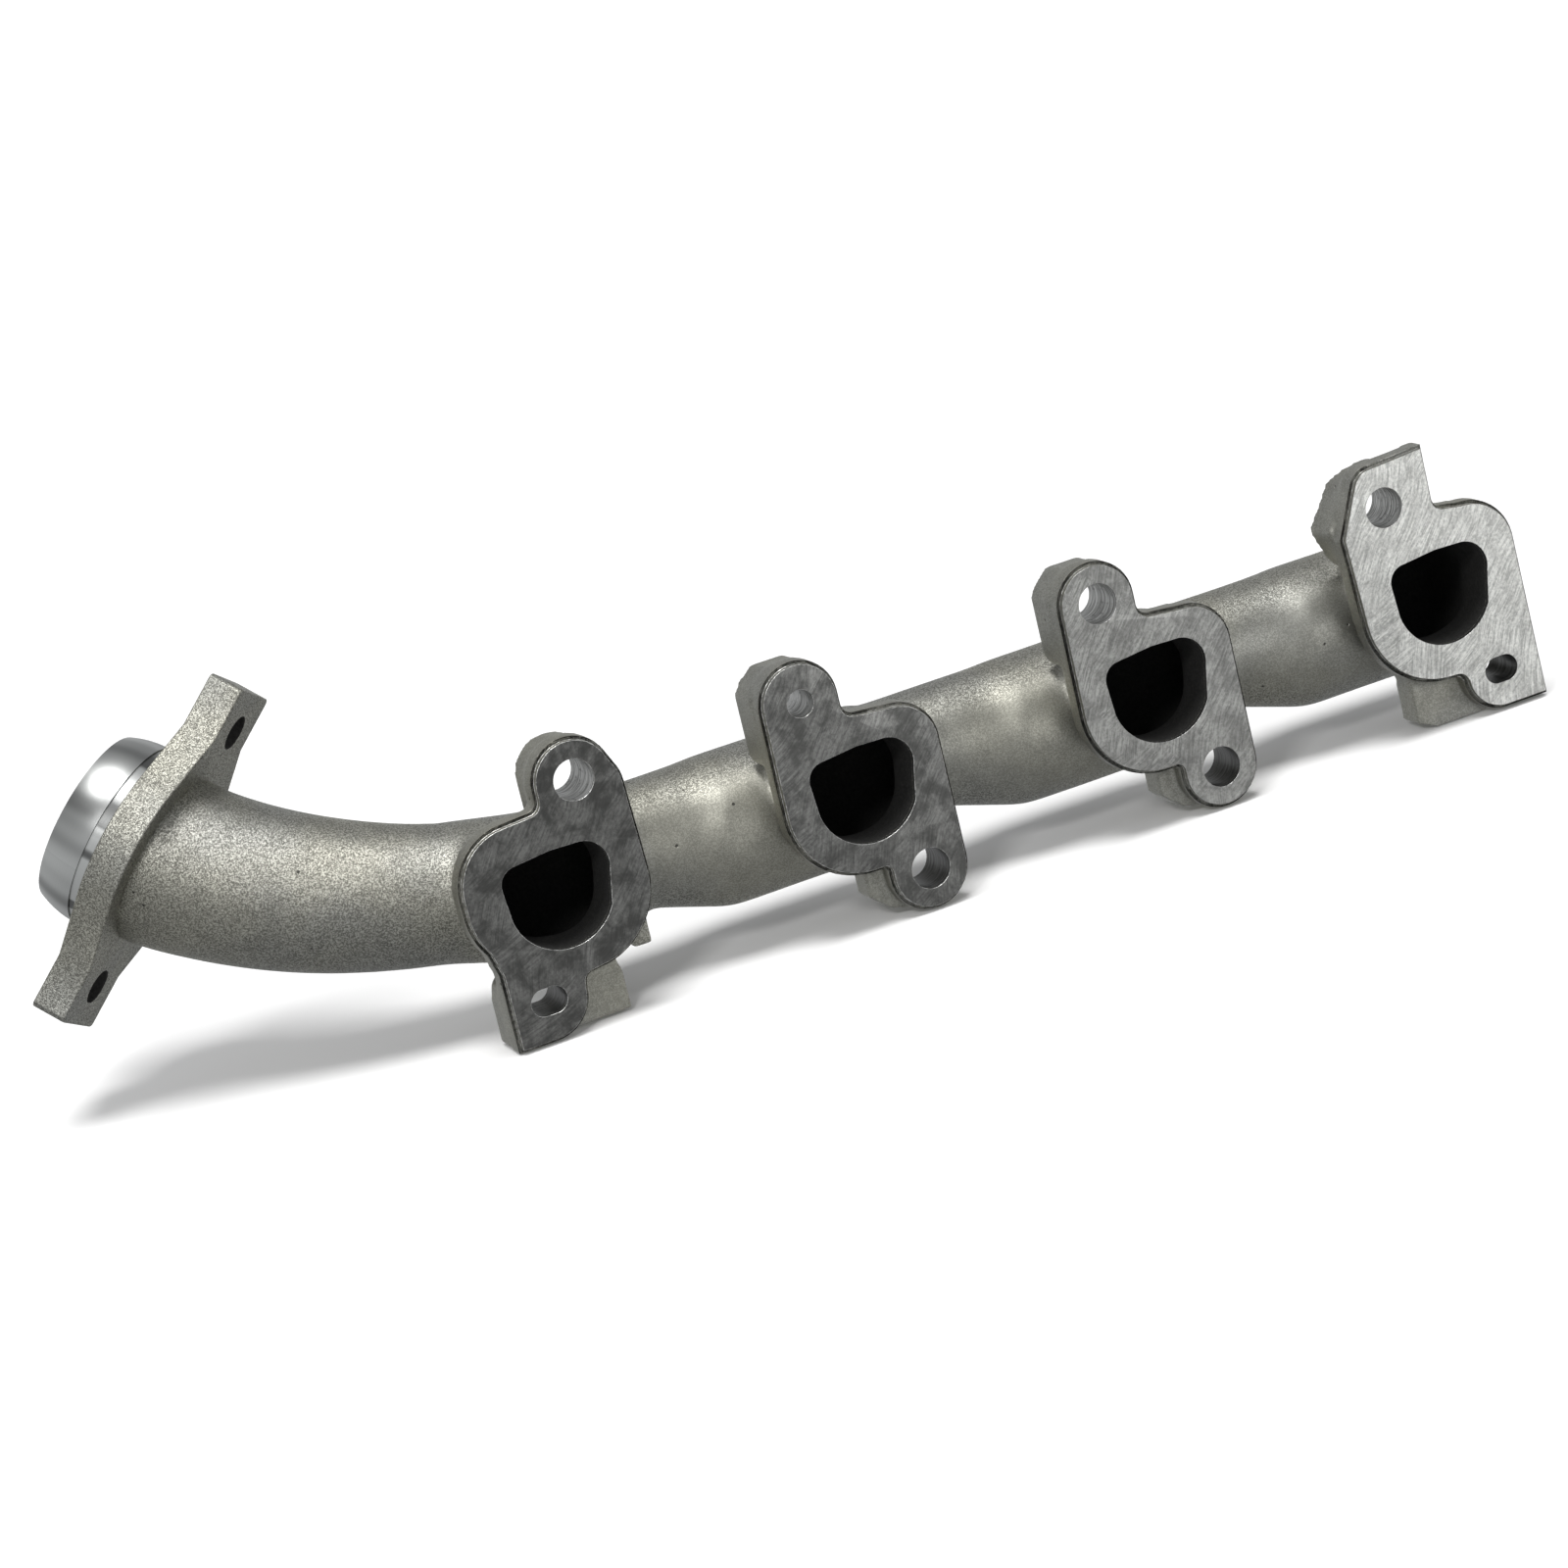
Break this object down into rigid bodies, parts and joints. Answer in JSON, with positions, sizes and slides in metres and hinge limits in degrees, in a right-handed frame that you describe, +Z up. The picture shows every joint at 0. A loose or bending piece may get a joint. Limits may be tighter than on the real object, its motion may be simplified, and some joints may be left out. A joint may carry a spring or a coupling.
{
  "type": "exhaust manifold",
  "caption": "Cast log exhaust manifold with D-shaped port flanges, lugs with bolt holes and slots, a swept elbow and a two-ear outlet flange with a ball seat.",
  "frame": {"origin": "centre of the locating bolt hole of port 2, on the machined head face", "axes": "+X along the port row towards the closed end, -Y towards the cylinder head, +Z up towards the upper bolt row"},
  "size_m": [0.5353, 0.1341, 0.1377],
  "materials": {
    "cast_iron": "shot-blasted, satin",
    "machined_flange": "milled face on shot-blasted casting",
    "ball_seat": "fine turned, bright"
  },
  "bodies": {
    "root": {"head_flange_1": "machined_flange", "head_flange_2": "machined_flange", "head_flange_3": "machined_flange", "head_flange_4": "machined_flange", "port_neck_1": "cast_iron", "port_neck_2": "cast_iron", "port_neck_3": "cast_iron", "port_neck_4": "cast_iron", "log_junction_1": "cast_iron", "log_junction_2": "cast_iron", "log_junction_3": "cast_iron", "log_junction_4": "cast_iron", "log_pipe_1": "cast_iron", "log_pipe_2": "cast_iron", "log_pipe_3": "cast_iron", "log_end_cap": "cast_iron", "outlet_elbow": "cast_iron", "outlet_flange": "cast_iron", "ball_seat": "ball_seat", "underside_rib": "cast_iron"}
  },
  "joints": []
}
